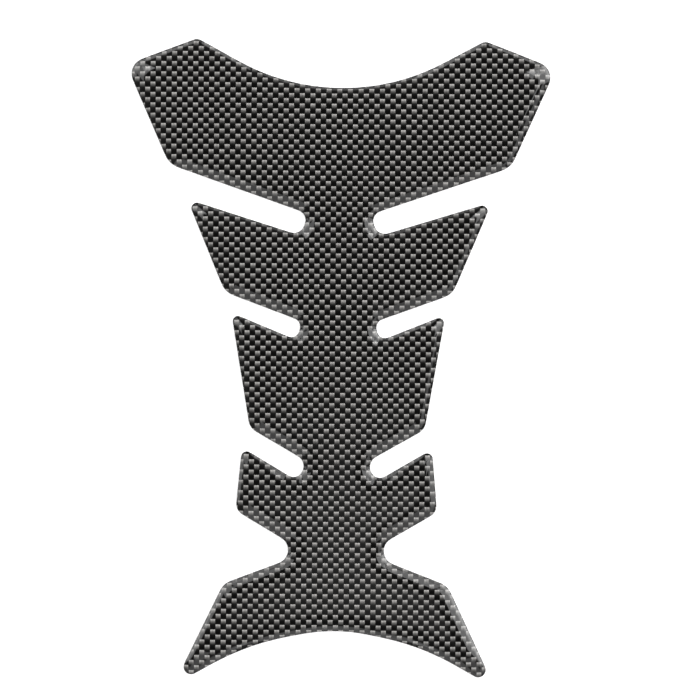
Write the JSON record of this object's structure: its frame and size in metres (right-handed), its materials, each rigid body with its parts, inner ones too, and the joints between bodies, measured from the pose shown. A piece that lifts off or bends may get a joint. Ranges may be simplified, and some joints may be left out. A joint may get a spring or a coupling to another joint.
{
  "type": "motorcycle tank pad",
  "caption": "Thin rib-shaped pad of clear domed resin over a carbon weave print, with wings, slanted side slots, notches and a forked tail, adhesive on its flat back.",
  "frame": {"origin": "on the adhesive face, under the middle of the pad's bounding box", "axes": "+X across the tank, +Y from the forked tail to the wings, +Z out of the tank through the resin"},
  "size_m": [0.1384, 0.21, 0.0018],
  "materials": {
    "domed_print": "clear glossy polyurethane resin over a printed carbon weave in dark and light greys"
  },
  "bodies": {
    "root": {"tank_pad": "domed_print"}
  },
  "joints": []
}
